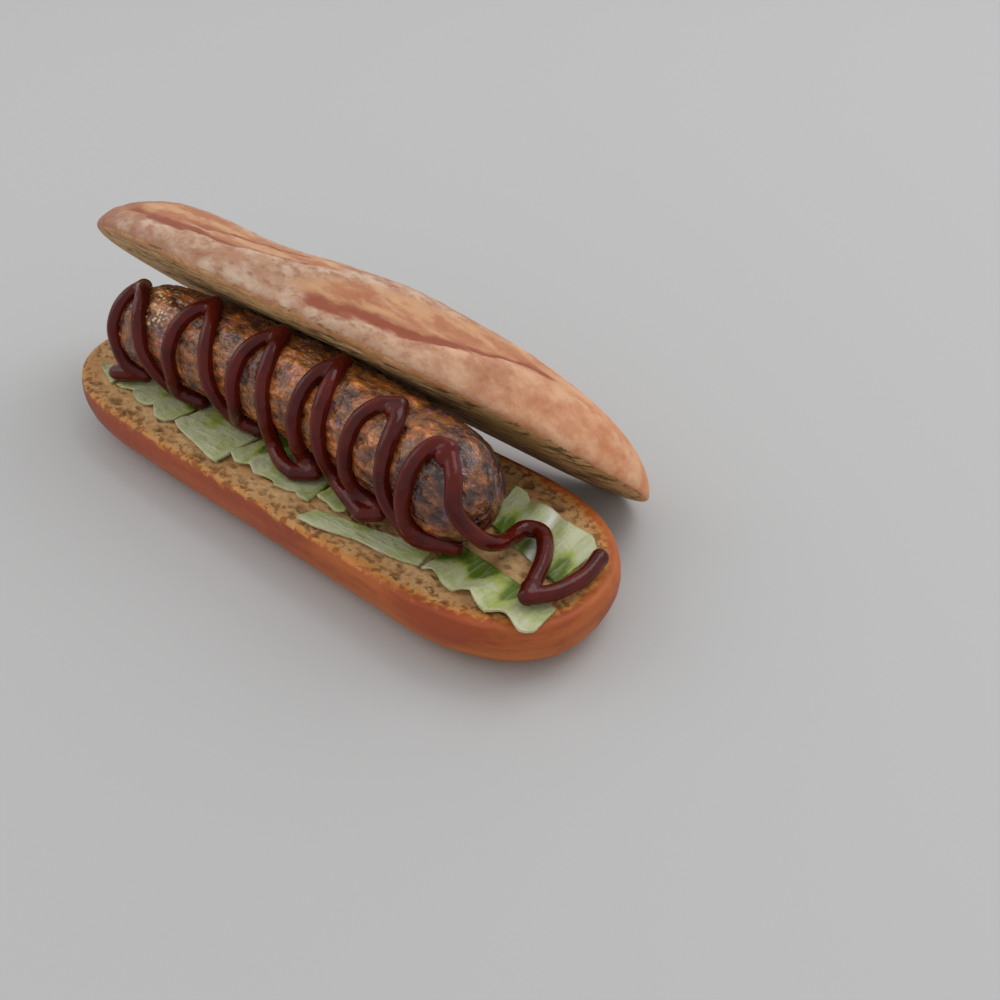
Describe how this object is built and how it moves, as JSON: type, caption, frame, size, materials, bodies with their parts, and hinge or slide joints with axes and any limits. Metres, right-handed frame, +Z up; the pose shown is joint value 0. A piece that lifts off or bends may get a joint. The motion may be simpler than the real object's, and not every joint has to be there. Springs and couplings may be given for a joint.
{
  "type": "hot dog",
  "caption": "Open hot dog: a lengthwise cut crusty roll with a grilled sausage on lettuce, a zigzag of dark sauce, and the top half leaning behind.",
  "frame": {"origin": "middle of the flat underside of the lower half of the roll", "axes": "+X along the roll towards the end where the sauce trails off, +Z up, -Y is the open side"},
  "size_m": [0.2116, 0.0904, 0.0708],
  "materials": {
    "bread_crust": "baked, golden to reddish brown crust over pale open crumb",
    "floured_crust": "pale, floury baked crust with two opened slashes",
    "grilled_sausage": "browned, mottled and greasy, with a glossy dark sauce on it",
    "lettuce": "crisp, slightly glossy leaf, pale at the rib"
  },
  "bodies": {
    "root": {"bottom_bread": "bread_crust", "top_bread": "floured_crust", "sausage": "grilled_sausage", "lettuce_left_tip": "lettuce", "lettuce_left": "lettuce", "lettuce_flat": "lettuce", "lettuce_wavy": "lettuce", "lettuce_small": "lettuce", "lettuce_blade": "lettuce", "lettuce_fold": "lettuce", "lettuce_ruffled": "lettuce", "lettuce_back": "lettuce"}
  },
  "joints": []
}
